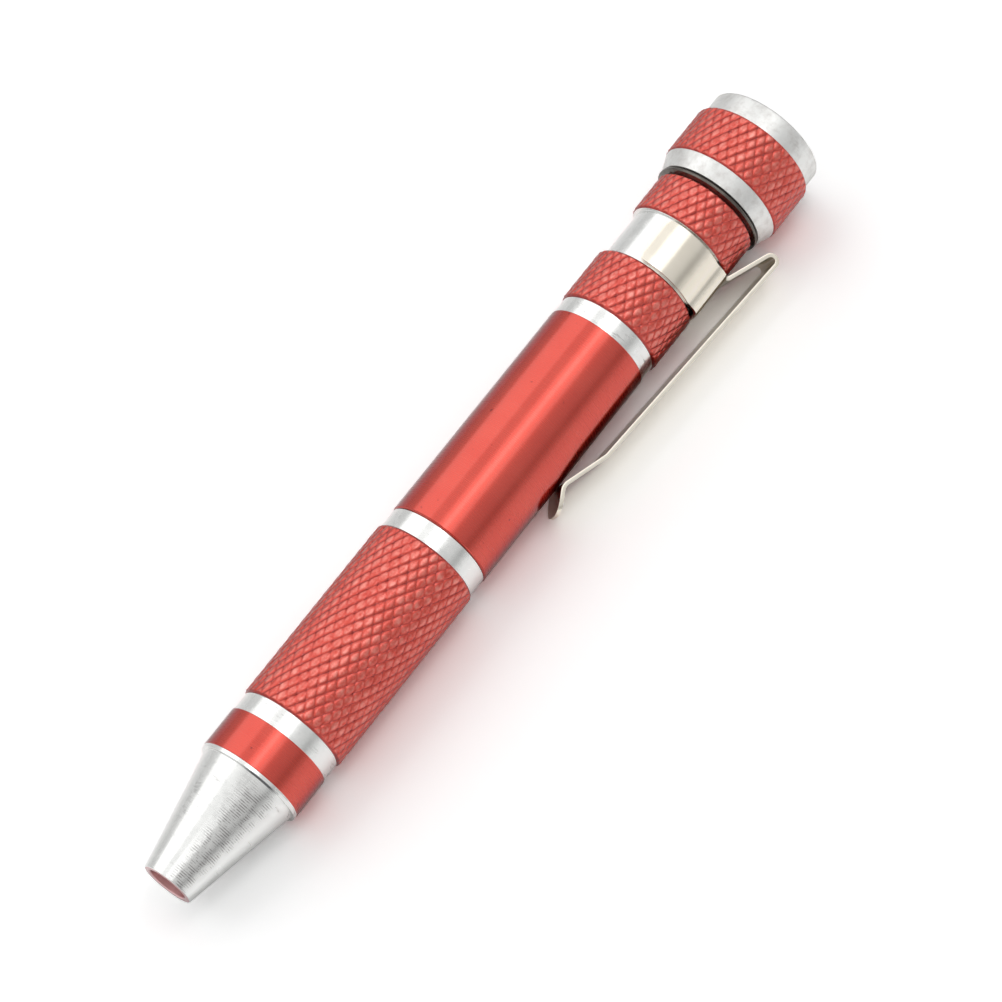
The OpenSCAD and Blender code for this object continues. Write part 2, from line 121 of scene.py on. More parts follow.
# A few nicks go through the gloss
pits = add(tree, "ShaderNodeTexNoise", {"Vector": spot, "Scale": 1000 / NICK_SPACING, "Detail": 1.0})
nicks = add(tree, "ShaderNodeMapRange", {"Value": pits, "From Min": 0.75, "From Max": 0.8})
colour = add(tree, "ShaderNodeMix", {0: nicks, 6: colour, 7: NICK_AND_SHADE_RED}, data_type="RGBA").outputs[2]
# The knurl's mesh says how deep a point lies, from -1 on a top to 1 in a groove
groove = add(tree, "ShaderNodeAttribute", attribute_name="groove").outputs["Fac"]
# The tops are paler in patches, partly from rubbed dye and partly as a painted highlight
on_top = add(tree, "ShaderNodeMapRange", {"Value": groove, "From Min": -0.1, "From Max": -1.0})
top_noise = add(tree, "ShaderNodeTexNoise",
          {"Vector": spot, "Scale": 1000 / TOP_PATCH_SIZE, "Detail": 4.0, "Roughness": 0.65})
top_patches = add(tree, "ShaderNodeMapRange", {"Value": top_noise, "From Min": 0.38, "From Max": 0.68})
worn_and_lit = add(tree, "ShaderNodeMath", {0: on_top, 1: top_patches}, operation="MULTIPLY")
colour = add(tree, "ShaderNodeMix", {0: worn_and_lit, 6: colour, 7: WORN_AND_LIT_PINK}, data_type="RGBA").outputs[2]
# Painted shade darkens the grooves, unevenly along them
groove_shade = add(tree, "ShaderNodeTexNoise", {"Vector": spot, "Scale": 1000 / GROOVE_SHADE_SIZE, "Detail": 2.0})
groove_shade = add(tree, "ShaderNodeMath", {0: groove_shade, 1: groove}, operation="MULTIPLY")
shaded_groove = add(tree, "ShaderNodeMapRange", {"Value": groove_shade, "From Min": 0.1, "From Max": 0.62})
colour = add(tree, "ShaderNodeMix", {0: shaded_groove, 6: colour, 7: NICK_AND_SHADE_RED}, data_type="RGBA").outputs[2]
along = add(tree, "ShaderNodeSeparateXYZ", {0: spot}).outputs["X"]
in_mouth = add(tree, "ShaderNodeMapRange",
               {"Value": along, "From Min": -THIN_END[1] / 1000, "From Max": -THIN_END[0] / 1000})
colour = add(tree, "ShaderNodeMix", {0: in_mouth, 6: colour, 7: DYE_THIN}, data_type="RGBA").outputs[2]
gloss = add(tree, "ShaderNodeMapRange", {"Value": mark_height, "To Min": 0.2, "To Max": 0.32})
# The roller's teeth leave the knurl rougher than a turned band, and the bits roughen the mouth
off_level = add(tree, "ShaderNodeMath", {0: groove}, operation="ABSOLUTE")
on_knurl = add(tree, "ShaderNodeMath", {0: off_level, 1: 0.02}, operation="GREATER_THAN")
grain = add(tree, "ShaderNodeTexNoise", {"Vector": spot, "Scale": 1000 / PRESSED_GRAIN, "Detail": 2.0})
grit = add(tree, "ShaderNodeMapRange", {"Value": grain, "To Min": 0.32, "To Max": 0.5})
gloss = add(tree, "ShaderNodeMix", {0: on_knurl, 2: gloss, 3: grit}, data_type="FLOAT")
gloss = add(tree, "ShaderNodeMix", {0: in_mouth, 2: gloss, 3: 0.5}, data_type="FLOAT")
bump = add(tree, "ShaderNodeBump", {"Height": mark_height, "Strength": 0.12, "Distance": 0.00002})
# Light that crosses the skin at a slant loses more on its longer way, so the bar darkens toward its edges
shader = add(tree, "ShaderNodeBsdfPrincipled", {
    "Base Color": colour, "Metallic": 1.0, "Roughness": gloss, "Normal": bump,
    "Specular Tint": (0.15, 0.05, 0.05, 1), "Coat Weight": 0.9, "Coat Roughness": 0.14, "Coat IOR": 1.55})
add(tree, "ShaderNodeOutputMaterial", {"Surface": shader})

# Bare turned aluminium. The rings and the cone were cut bright after anodising with a sharp tool, so they
# are near-white mirrors with fine rings round them, faint chatter, and cloudy patches where chips rubbed.
BRIGHT = linear("#F4F4F2")
SMEARED = linear("#DEDFDD")
# Grey of the tool's scores, also used for a painted dark reflection band down one side of the cone
SCORED_AND_SHADED_GREY = linear("#9F9D9C")
HANDLED = linear("#CCCAC7")
# Grey of the painted dark reflection in the corner behind the cone
CORNER_REFLECTION_GREY = linear("#6A6A6C")
SMEAR_SIZE = 1.1  # mm, clouds where chips rubbed
SCORE_SPACING, SCORE_LENGTH = 0.3, 1.6  # mm along and round the bar
PATCH_SIZE = 4.4  # mm, of an area that the tool scored
CHATTER_SPACING = 0.27  # mm from one chatter mark on the cone to the next
CHATTER_GAP = 0.75  # mm over which the chatter comes and goes
# Sides of the cone's chatter and its painted dark reflection band, and of the painted reflection in the
# corner
REFLECTION_BAND_SIDE, CORNER_REFLECTION_SIDE = 48, 36  # degrees from the top of the bar towards the clip
CAP_START = 103.3  # front of the cap, which fingers turn
SCORE_SCALE = 1000 / SCORE_SPACING, 1000 / SCORE_LENGTH, 1000 / SCORE_LENGTH

turned_metal, tree = new_material("turned_aluminium")
spot = add(tree, "ShaderNodeTexCoord").outputs["Object"]
marks = add(tree, "ShaderNodeMapping", {"Vector": spot, "Scale": TURNING_SCALE})
mark_height = add(tree, "ShaderNodeTexNoise", {"Vector": marks, "Scale": 1.0, "Detail": 1.0})
smear = add(tree, "ShaderNodeTexNoise",
            {"Vector": spot, "Scale": 1000 / SMEAR_SIZE, "Detail": 4.0, "Roughness": 0.6})
colour = add(tree, "ShaderNodeMix", {0: smear, 6: SMEARED, 7: BRIGHT}, data_type="RGBA").outputs[2]
# The tool scored the metal in patches
scores = add(tree, "ShaderNodeMapping", {"Vector": spot, "Scale": SCORE_SCALE})
score_depth = add(tree, "ShaderNodeTexNoise", {"Vector": scores, "Scale": 1.0, "Detail": 2.0})
torn = add(tree, "ShaderNodeMapRange", {"Value": score_depth, "From Min": 0.55, "From Max": 0.8})
patch = add(tree, "ShaderNodeTexNoise", {"Vector": spot, "Scale": 1000 / PATCH_SIZE, "Detail": 2.0})
in_patch = add(tree, "ShaderNodeMapRange", {"Value": patch, "From Min": 0.5, "From Max": 0.66})
greying = add(tree, "ShaderNodeMath", {0: torn, 1: in_patch}, operation="MULTIPLY")
# Chatter ticks run down one side of the cone, in a band greyed by a painted dark reflection
parts = add(tree, "ShaderNodeSeparateXYZ", {0: spot}).outputs
on_cone = add(tree, "ShaderNodeMapRange",
              {"Value": parts["X"], "From Min": -CONE_END / 1000, "From Max": (2 - CONE_END) / 1000})
side = add(tree, "ShaderNodeMath", {0: parts["Y"], 1: parts["Z"]}, operation="ARCTAN2")
off_side = add(tree, "ShaderNodeMath", {0: side, 1: radians(REFLECTION_BAND_SIDE)}, operation="SUBTRACT")
off_side = add(tree, "ShaderNodeMath", {0: off_side}, operation="ABSOLUTE")
on_side = add(tree, "ShaderNodeMapRange",
              {"Value": off_side, "From Min": radians(30), "From Max": radians(14)})
reflection_band = add(tree, "ShaderNodeMath", {0: on_cone, 1: on_side}, operation="MULTIPLY")
wave = add(tree, "ShaderNodeMath", {0: parts["X"], 1: 2000 * pi / CHATTER_SPACING}, operation="MULTIPLY")
wave = add(tree, "ShaderNodeMath", {0: wave}, operation="SINE")
tick = add(tree, "ShaderNodeMapRange", {"Value": wave, "From Min": -0.3, "From Max": 0.9})
gaps = add(tree, "ShaderNodeTexNoise", {"Vector": spot, "Scale": 1000 / CHATTER_GAP, "Detail": 2.0})
uneven = add(tree, "ShaderNodeMapRange", {"Value": gaps, "From Min": 0.4, "From Max": 0.65})
for share in (reflection_band, uneven):
    tick = add(tree, "ShaderNodeMath", {0: tick, 1: share}, operation="MULTIPLY")
chatter_and_shade = add(tree, "ShaderNodeMath", {0: reflection_band, 1: 0.25, 2: tick}, operation="MULTIPLY_ADD")
# The scores and the painted dark reflection band share one grey
greying = add(tree, "ShaderNodeMath", {0: greying, 1: chatter_and_shade}, operation="MAXIMUM")
colour = add(tree, "ShaderNodeMix", {0: greying, 6: colour, 7: SCORED_AND_SHADED_GREY}, data_type="RGBA").outputs[2]
# A painted dark reflection lines the corner behind the cone, on one side of the bar
off_corner = add(tree, "ShaderNodeMath", {0: parts["X"], 1: CONE_END / 1000}, operation="ADD")
off_corner = add(tree, "ShaderNodeMath", {0: off_corner}, operation="ABSOLUTE")
in_corner = add(tree, "ShaderNodeMapRange", {"Value": off_corner, "From Min": 0.00012, "From Max": 0.00005})
off_reflection_side = add(tree, "ShaderNodeMath", {0: side, 1: radians(CORNER_REFLECTION_SIDE)}, operation="SUBTRACT")
off_reflection_side = add(tree, "ShaderNodeMath", {0: off_reflection_side}, operation="ABSOLUTE")
on_reflection_side = add(tree, "ShaderNodeMapRange",
             {"Value": off_reflection_side, "From Min": radians(26), "From Max": radians(12)})
corner_reflection = add(tree, "ShaderNodeMath", {0: in_corner, 1: on_reflection_side}, operation="MULTIPLY")
colour = add(tree, "ShaderNodeMix", {0: corner_reflection, 6: colour, 7: CORNER_REFLECTION_GREY}, data_type="RGBA").outputs[2]
gloss = add(tree, "ShaderNodeMapRange",
            {"Value": smear, "From Min": 0.3, "From Max": 0.7, "To Min": 0.17, "To Max": 0.28})
# Fingers turn the cap, so its bare metal is duller and blotched
on_cap = add(tree, "ShaderNodeMapRange",
             {"Value": parts["X"], "From Min": (0.8 - CAP_START) / 1000, "From Max": -CAP_START / 1000})
gloss = add(tree, "ShaderNodeMath", {0: on_cap, 1: 0.17, 2: gloss}, operation="MULTIPLY_ADD")
blotch = add(tree, "ShaderNodeMapRange",
             {"Value": smear, "From Min": 0.42, "From Max": 0.72, "To Min": 0.1, "To Max": 0.95})
blotched = add(tree, "ShaderNodeMath", {0: on_cap, 1: blotch}, operation="MULTIPLY")
colour = add(tree, "ShaderNodeMix", {0: blotched, 6: colour, 7: HANDLED}, data_type="RGBA").outputs[2]
waves = add(tree, "ShaderNodeBump", {"Height": smear, "Strength": 0.08, "Distance": 0.00005})
cuts = add(tree, "ShaderNodeBump", {"Height": greying, "Strength": 0.25, "Distance": 0.00004, "Normal": waves})
bump = add(tree, "ShaderNodeBump",
           {"Height": mark_height, "Strength": 0.15, "Distance": 0.00002, "Normal": cuts})
shader = add(tree, "ShaderNodeBsdfPrincipled",
             {"Base Color": colour, "Metallic": 1.0, "Roughness": gloss, "Normal": bump})
add(tree, "ShaderNodeOutputMaterial", {"Surface": shader})

# A row of an outline has its place and radius in mm, says whether the band behind it is bare and whether it
# is hexagonal, and holds what a knurl (crest to phase) and a thread (pitch to root) need
Row = namedtuple("Row", "place radius bare hexagon crest shift phase pitch low high root", defaults=[0] * 9)

DIAMOND_LENGTH = 2.1  # mm along the bar from one diamond to the next
GRIP_DIAMONDS = 33  # round the grip and the barrel
KNURL_STEPS = 8  # mesh steps from one knurl groove to the next
GROOVE_DEPTHS = 0.07, 0.12  # mm, of each hand; the roller of the second hand bit deeper
GROOVE_SHARPNESS = 3.0  # power that gives a groove its narrow bottom
HOLLOW = 0.02  # share of a groove's depth by which a diamond's middle is hollow
BITE = 0.75, 1.2  # least and greatest share of its depth that the roller bit
TOP_DEPTH, SHADED_DEPTH = 0.016, 0.11 # mm below the crest
KNURL_EDGE = 0.25  # mm, chamfer at the ends of a knurled band
SHARP_FOLD = radians(28)  # an edge that folds by more is shaded as a corner


def knurl(start, end, crest, rear_round=0):
    """Rows of a diamond-knurled band. Every second row stands half a step round, so that the mesh's edges
    run along the grooves of both hands"""
    count = round((end - start) / DIAMOND_LENGTH * 2 * KNURL_STEPS)
    rows = []
    for i in range(count + 1):
        from_end = (end - start) * min(i, count - i) / count
        radius = min(crest, crest - KNURL_EDGE + from_end)
        if rear_round and count - i < i:
            short = max(rear_round - from_end, 0)
            radius = crest - rear_round + sqrt(rear_round ** 2 - short ** 2)
        rows.append(Row(start + (end - start) * i / count, radius, crest=crest, shift=i % 2 / 2,
                        phase=i / 2 / KNURL_STEPS))
    return rows


turning = bpy.data.node_groups.new("turned_piece", "GeometryNodeTree")
turning.is_modifier = True
for name, kind in (("Outline", "NodeSocketGeometry"), ("Steps round", "NodeSocketInt"),
                   ("Diamonds round", "NodeSocketInt"), ("Skin", "NodeSocketMaterial"),
                   ("Bare metal", "NodeSocketMaterial")):
    turning.interface.new_socket(name, in_out="INPUT", socket_type=kind)
turning.interface.new_socket("Piece", in_out="OUTPUT", socket_type="NodeSocketGeometry")
given = add(turning, "NodeGroupInput").outputs
outline, steps_round = given["Outline"], given["Steps round"]

# A flat net has a column for each step round the bar and a row for each point of the outline
count = add(turning, "GeometryNodeAttributeDomainSize", {"Geometry": outline}).outputs["Point Count"]
columns = add(turning, "ShaderNodeMath", {0: steps_round, 1: 1.0}, operation="ADD")
net = add(turning, "GeometryNodeMeshGrid", {"Vertices X": columns, "Vertices Y": count}).outputs["Mesh"]
index = add(turning, "GeometryNodeInputIndex")
middle = add(turning, "ShaderNodeMath", {0: index, 1: 0.5}, operation="ADD")
column = add(turning, "ShaderNodeMath", {0: middle, 1: count}, operation="DIVIDE")
column = add(turning, "ShaderNodeMath", {0: column}, operation="FLOOR")
passed = add(turning, "ShaderNodeMath", {0: column, 1: count}, operation="MULTIPLY")
row = add(turning, "ShaderNodeMath", {0: index, 1: passed}, operation="SUBTRACT")

# What the outline says of each row, apart from its finish, which is asked for each face further down
rule = {}
for name in [field for field in Row._fields if field != "bare"]:
    value = add(turning, "GeometryNodeInputNamedAttribute", {"Name": name}, data_type="FLOAT")
    rule[name] = add(turning, "GeometryNodeSampleIndex", {"Geometry": outline, "Value": value, "Index": row},
                     data_type="FLOAT", domain="POINT")

# The turn of each point round the bar, from 0 to 1, and its angle
shifted = add(turning, "ShaderNodeMath", {0: column, 1: rule["shift"]}, operation="ADD")
turn = add(turning, "ShaderNodeMath", {0: shifted, 1: steps_round}, operation="DIVIDE")
angle = add(turning, "ShaderNodeMath", {0: turn, 1: 2 * pi}, operation="MULTIPLY")
sine = add(turning, "ShaderNodeMath", {0: angle}, operation="SINE")
cosine = add(turning, "ShaderNodeMath", {0: angle}, operation="COSINE")

# The knurling roller bit a little deeper here and there, in spots about as large as a diamond
wander = add(turning, "ShaderNodeCombineXYZ", {"X": rule["phase"], "Y": sine, "Z": cosine})
wander = add(turning, "ShaderNodeVectorMath", {0: wander, 1: (0.5, 4.0, 4.0)}, operation="MULTIPLY")
bite = add(turning, "ShaderNodeTexNoise", {"Vector": wander, "Scale": 2.0})
bite = add(turning, "ShaderNodeMapRange",
           {"Value": bite, "From Min": 0.3, "From Max": 0.7, "To Min": BITE[0], "To Max": BITE[1]})

# Grooves of both hands are pressed down from the crest, and leave each diamond a little hollow
around = add(turning, "ShaderNodeMath", {0: turn, 1: given["Diamonds round"]}, operation="MULTIPLY")
knurled = rule["crest"]
for sign, depth in zip((1.0, -1.0), GROOVE_DEPTHS):
    helix = add(turning, "ShaderNodeMath", {0: rule["phase"], 1: sign, 2: around}, operation="MULTIPLY_ADD")
    off_groove = add(turning, "ShaderNodeMath", {0: helix, 1: 0.5}, operation="PINGPONG")
    nearness = add(turning, "ShaderNodeMapRange",
                   {"Value": off_groove, "From Max": 0.5, "To Min": 1.0, "To Max": 0.0})
    pressed = add(turning, "ShaderNodeMath", {0: nearness, 1: GROOVE_SHARPNESS}, operation="POWER")
    squared = add(turning, "ShaderNodeMath", {0: off_groove, 1: off_groove}, operation="MULTIPLY")
    form = add(turning, "ShaderNodeMath", {0: squared, 1: 4 * HOLLOW, 2: pressed}, operation="MULTIPLY_ADD")
    bitten = add(turning, "ShaderNodeMath", {0: bite, 1: -depth}, operation="MULTIPLY")
    knurled = add(turning, "ShaderNodeMath", {0: form, 1: bitten, 2: knurled}, operation="MULTIPLY_ADD")
on_knurl = add(turning, "ShaderNodeMath", {0: rule["crest"], 1: 0.0}, operation="GREATER_THAN")
top = add(turning, "ShaderNodeMath", {0: rule["radius"], 1: knurled}, operation="MINIMUM")
radius = add(turning, "ShaderNodeMix", {0: on_knurl, 2: rule["radius"], 3: top}, data_type="FLOAT")

# A thread's rows climb one pitch in a turn, stop at the thread's ends, and sink to its root there
climbed = add(turning, "ShaderNodeMath", {0: rule["pitch"], 1: turn, 2: rule["place"]},
              operation="MULTIPLY_ADD")
held = add(turning, "ShaderNodeClamp", {"Value": climbed, "Min": rule["low"], "Max": rule["high"]})
on_thread = add(turning, "ShaderNodeMath", {0: rule["pitch"], 1: 0.0}, operation="GREATER_THAN")
place = add(turning, "ShaderNodeMix", {0: on_thread, 2: rule["place"], 3: held}, data_type="FLOAT")
from_low = add(turning, "ShaderNodeMath", {0: place, 1: rule["low"]}, operation="SUBTRACT")
from_high = add(turning, "ShaderNodeMath", {0: rule["high"], 1: place}, operation="SUBTRACT")
from_end = add(turning, "ShaderNodeMath", {0: from_low, 1: from_high}, operation="MINIMUM")
chamfer = add(turning, "ShaderNodeMath", {0: from_end, 1: rule["root"]}, operation="ADD")
ridge = add(turning, "ShaderNodeMath", {0: radius, 1: chamfer}, operation="MINIMUM")
radius = add(turning, "ShaderNodeMix", {0: on_thread, 2: radius, 3: ridge}, data_type="FLOAT")

# A hexagon reaches out to its corners, the first of which points up
from_corner = add(turning, "ShaderNodeMath", {0: angle, 1: pi / 6}, operation="PINGPONG")
from_flat = add(turning, "ShaderNodeMath", {0: pi / 6, 1: from_corner}, operation="SUBTRACT")
flatness = add(turning, "ShaderNodeMath", {0: from_flat}, operation="COSINE")
cornered = add(turning, "ShaderNodeMath", {0: radius, 1: flatness}, operation="DIVIDE")
radius = add(turning, "ShaderNodeMix", {0: rule["hexagon"], 2: radius, 3: cornered}, data_type="FLOAT")

# The faces know from their row whether they are bare, and which of them are knurled
face_rows = add(turning, "ShaderNodeMath", {0: count, 1: 1.0}, operation="SUBTRACT")
face_column = add(turning, "ShaderNodeMath", {0: middle, 1: face_rows}, operation="DIVIDE")
face_column = add(turning, "ShaderNodeMath", {0: face_column}, operation="FLOOR")
faces_passed = add(turning, "ShaderNodeMath", {0: face_column, 1: face_rows}, operation="MULTIPLY")
face_row = add(turning, "ShaderNodeMath", {0: index, 1: faces_passed}, operation="SUBTRACT")
marked = net
for name in ("bare", "crest"):
    value = add(turning, "GeometryNodeInputNamedAttribute", {"Name": name}, data_type="FLOAT")
    of_face = add(turning, "GeometryNodeSampleIndex",
                  {"Geometry": outline, "Value": value, "Index": face_row}, data_type="FLOAT", domain="POINT")
    chosen = add(turning, "FunctionNodeCompare", {0: of_face, 1: 0.0}, data_type="FLOAT",
                 operation="GREATER_THAN")
    marked = add(turning, "GeometryNodeStoreNamedAttribute",
                 {"Geometry": marked, "Name": name + "_face", "Value": chosen},
                 data_type="BOOLEAN", domain="FACE")
# The points know how deep they lie in a knurl, from -1 on its tops to 1 in its grooves
sunk = add(turning, "ShaderNodeMath", {0: rule["crest"], 1: top}, operation="SUBTRACT")
depth = add(turning, "ShaderNodeMapRange", {"Value": sunk, "From Min": TOP_DEPTH, "From Max": SHADED_DEPTH,
                                            "To Min": -1.0, "To Max": 1.0})
depth = add(turning, "ShaderNodeMath", {0: depth, 1: on_knurl}, operation="MULTIPLY")
marked = add(turning, "GeometryNodeStoreNamedAttribute",
             {"Geometry": marked, "Name": "groove", "Value": depth}, data_type="FLOAT", domain="POINT")

# The net is rolled up round the bar, and its seam and poles are closed
across = add(turning, "ShaderNodeMath", {0: radius, 1: sine}, operation="MULTIPLY")
up = add(turning, "ShaderNodeMath", {0: radius, 1: cosine}, operation="MULTIPLY")
back = add(turning, "ShaderNodeMath", {0: place, 1: -1.0}, operation="MULTIPLY")
position = add(turning, "ShaderNodeCombineXYZ", {"X": back, "Y": across, "Z": up})
in_metres = add(turning, "ShaderNodeVectorMath", {0: position, "Scale": 0.001}, operation="SCALE")
rolled = add(turning, "GeometryNodeSetPosition", {"Geometry": marked, "Position": in_metres})
closed = add(turning, "GeometryNodeMergeByDistance", {"Geometry": rolled, "Distance": 0.000001})
# The short diagonal of a knurl's faces runs along a groove
knurl_face = add(turning, "GeometryNodeInputNamedAttribute", {"Name": "crest_face"}, data_type="BOOLEAN")
ridged = add(turning, "GeometryNodeTriangulate", {"Mesh": closed, "Selection": knurl_face},
             quad_method="SHORTEST_DIAGONAL")
smooth = add(turning, "GeometryNodeSetShadeSmooth", {"Geometry": ridged}, domain="FACE")
fold = add(turning, "GeometryNodeInputMeshEdgeAngle").outputs["Unsigned Angle"]
sharp = add(turning, "FunctionNodeCompare", {0: fold, 1: SHARP_FOLD}, data_type="FLOAT",
            operation="GREATER_THAN")
creased = add(turning, "GeometryNodeSetShadeSmooth",
              {"Geometry": smooth, "Selection": sharp, "Shade Smooth": False}, domain="EDGE")
real = add(turning, "GeometryNodeRealizeInstances", {"Geometry": creased})
skinned = add(turning, "GeometryNodeSetMaterial", {"Geometry": real, "Material": given["Skin"]})
bare_face = add(turning, "GeometryNodeInputNamedAttribute", {"Name": "bare_face"}, data_type="BOOLEAN")
finished = add(turning, "GeometryNodeSetMaterial",
               {"Geometry": skinned, "Selection": bare_face, "Material": given["Bare metal"]})
add(turning, "NodeGroupOutput", {"Piece": finished})


def made_real(piece):
    """Turns what a piece's modifiers make into its own plain mesh"""
    bpy.context.view_layer.update()
    mesh = bpy.data.meshes.new_from_object(piece.evaluated_get(bpy.context.evaluated_depsgraph_get()))
    piece.modifiers.clear()
    piece.data = mesh
    return piece


def turned(name, rows, skin, bare=None, diamonds=0, steps=96):
    """A turned piece from the rows of its outline, which run so that the metal is on the right"""
    mesh = bpy.data.meshes.new(name)
    mesh.vertices.add(len(rows))
    for field in Row._fields:
        attribute = mesh.attributes.new(field, "FLOAT", "POINT")
        attribute.data.foreach_set("value", [getattr(row, field) for row in rows])
    piece = bpy.data.objects.new(name, mesh)
    bpy.context.collection.objects.link(piece)
    modifier = piece.modifiers.new("turning", "NODES")
    modifier.node_group = turning
    values = {"Steps round": diamonds * KNURL_STEPS or steps, "Diamonds round": diamonds,
              "Skin": skin, "Bare metal": bare or skin}
    for socket in turning.interface.items_tree:
        if socket.in_out == "INPUT" and socket.name in values:
            modifier[socket.identifier] = values[socket.name]
    return made_real(piece)


# The odd hundredths of a millimetre are broken edges
grip_rows = [
    Row(MAGNET_BOTTOM, 0), Row(MAGNET_BOTTOM, SOCKET_FLAT), Row(SOCKET_DEPTH, SOCKET_FLAT, hexagon=1),
    Row(MOUTH_DEPTH + 0.35, SOCKET_FLAT, hexagon=1), Row(MOUTH_DEPTH + 0.1, 2.2, hexagon=1),
    Row(MOUTH_DEPTH, MOUTH_RADIUS), Row(0.12, MOUTH_RADIUS), Row(0, 2.54),
    Row(0, 3.1, 1), Row(0.04, 3.2, 1), Row(0.16, CONE_TIP_RADIUS, 1),
    Row(CONE_END - 0.04, CONE_BASE_RADIUS, 1), Row(CONE_END, 6.16, 1), Row(CONE_END, 6.5, 1),
    Row(CONE_END + 0.04, STEP_RADIUS, 1), Row(STEP_END, STEP_RADIUS), Row(STEP_END + 0.01, 6.57),
    Row(STEP_END + 0.06, BAND_RADIUS), Row(BAND_END - 0.05, BAND_RADIUS), Row(BAND_END, 6.57, 1),
    Row(BAND_END + 0.03, RING_RADIUS, 1), Row(RING_END - 0.02, RING_RADIUS, 1),
    Row(RING_END, NECK_RADIUS, 1), Row(RING_END + 0.08, NECK_RADIUS),
    *knurl(*GRIP_KNURL, KNURL_RADIUS),
    Row(GRIP_KNURL[1] + 0.02, RING_RADIUS, 1), Row(SEAM - 0.1, RING_RADIUS, 1), Row(SEAM, 6.38, 1),
    Row(SEAM, 5.85), Row(SEAM - 0.1, BORE_RADIUS), Row(BORE_BOTTOM, BORE_RADIUS),
    Row(BORE_BOTTOM, CHAMBER_RADIUS), Row(CHAMBER_BOTTOM + 0.2, CHAMBER_RADIUS), Row(CHAMBER_BOTTOM, 5.25),
    Row(CHAMBER_BOTTOM, 0)]
nose_grip = turned("nose_and_grip", grip_rows, anodised, turned_metal, GRIP_DIAMONDS)
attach(nose_grip, "grip")
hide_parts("nose_grip")


# Socket magnet. A disc magnet, plated in a tumbling drum and pressed into the pocket behind the socket, where
# it holds the bit. The tumbling leaves it a satin, slightly mottled skin.

METAL = {"Metallic": 1.0}


def clouded(name, dark, light, grain, roughness, look=METAL, relief=None, detail=3.0, tatter=0.5):
    """A finish that drifts from one colour and gloss to another with a noise, whose grain is in mm. A look
    holds more of the shader's values, and a relief its strength and its depth in m"""
    material, tree = new_material(name)
    spot = add(tree, "ShaderNodeTexCoord").outputs["Object"]
    cloud = add(tree, "ShaderNodeTexNoise",
                {"Vector": spot, "Scale": 1000 / grain, "Detail": detail, "Roughness": tatter})
    colour = add(tree, "ShaderNodeMix", {0: cloud, 6: linear(dark), 7: linear(light)}, data_type="RGBA")
    gloss = add(tree, "ShaderNodeMapRange", {"Value": cloud, "To Min": roughness[0], "To Max": roughness[1]})
    values = {"Base Color": colour.outputs[2], "Roughness": gloss, **look}
    if relief:
        values["Normal"] = add(tree, "ShaderNodeBump",
                               {"Height": cloud, "Strength": relief[0], "Distance": relief[1]})
    shader = add(tree, "ShaderNodeBsdfPrincipled", values)
    add(tree, "ShaderNodeOutputMaterial", {"Surface": shader})
    return material


def made_of(node, material):
    """Gives its material to a node whose solid the scene shows as it is"""
    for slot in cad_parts[node].material_slots:
        slot.material = material


plated = clouded("plated_magnet", "#B9B6AE", "#D2CFC7", grain=0.4, roughness=(0.25, 0.45))
made_of("socket_magnet", plated)


# Barrel. A second bar of the same stock: threaded spigot, smooth anodised tube, bright ring, and two knurled
# bands with the clip's groove cut between them. Its back end is bored and threaded for the cap's plug.

THREAD_PITCH = 0.75
THREAD_RADIUS, THREAD_ROOT = 5.698, 5.398
SPIGOT = 45, 49.6  # from, to
TUBE_END = 80.6
TUBE_RING_END = 82.8
FRONT_KNURL, REAR_KNURL = (82.9, 90.2), (97, 102.5)
CLIP_GROOVE_RADIUS = 6.098
PLUG_BORE_BOTTOM = 97.85
REAR_CHAMBER_BOTTOM = 69.7


def thread(start, end):
    """Rows of a thread. Each row is itself a turn of the helix, and the ends fade out in a chamfer"""
    profile = (0, THREAD_RADIUS), (1 / 8, THREAD_RADIUS), (1 / 2, THREAD_ROOT), (5 / 8, THREAD_ROOT)
    rows = [Row(start, THREAD_ROOT)]
    turn = start - THREAD_PITCH
    while turn < end:
        for share, radius in profile:
            rows.append(Row(turn + share * THREAD_PITCH, radius, pitch=THREAD_PITCH, low=start, high=end,
                            root=THREAD_ROOT))
        turn += THREAD_PITCH
    return rows + [Row(end, THREAD_ROOT)]


barrel_rows = [
    Row(SPIGOT[0], 0), Row(SPIGOT[0], 5.3),
    *thread(SPIGOT[0] + 0.2, SPIGOT[1]),
    Row(SEAM + 0.04, THREAD_ROOT), Row(SEAM + 0.04, 6.4), Row(SEAM + 0.19, BAND_RADIUS),
    Row(TUBE_END - 0.05, BAND_RADIUS), Row(TUBE_END, 6.57, 1), Row(TUBE_END + 0.03, RING_RADIUS, 1),
    Row(TUBE_RING_END - 0.02, RING_RADIUS, 1), Row(TUBE_RING_END, NECK_RADIUS, 1),
    Row(TUBE_RING_END + 0.08, NECK_RADIUS),
    *knurl(*FRONT_KNURL, KNURL_RADIUS),
    Row(FRONT_KNURL[1], 6.2, 1), Row(FRONT_KNURL[1] + 0.1, CLIP_GROOVE_RADIUS, 1),
    Row(REAR_KNURL[0] - 0.1, CLIP_GROOVE_RADIUS, 1), Row(REAR_KNURL[0], 6.2, 1),
    *knurl(*REAR_KNURL, KNURL_RADIUS),
    Row(REAR_KNURL[1], 5.85), Row(REAR_KNURL[1] - 0.1, BORE_RADIUS), Row(PLUG_BORE_BOTTOM, BORE_RADIUS),
    Row(PLUG_BORE_BOTTOM, CHAMBER_RADIUS), Row(REAR_CHAMBER_BOTTOM + 0.2, CHAMBER_RADIUS),
    Row(REAR_CHAMBER_BOTTOM, 5.25), Row(REAR_CHAMBER_BOTTOM, 0)]
barrel = turned("barrel_tube", barrel_rows, anodised, turned_metal, GRIP_DIAMONDS)
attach(barrel, "barrel")
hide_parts("barrel")


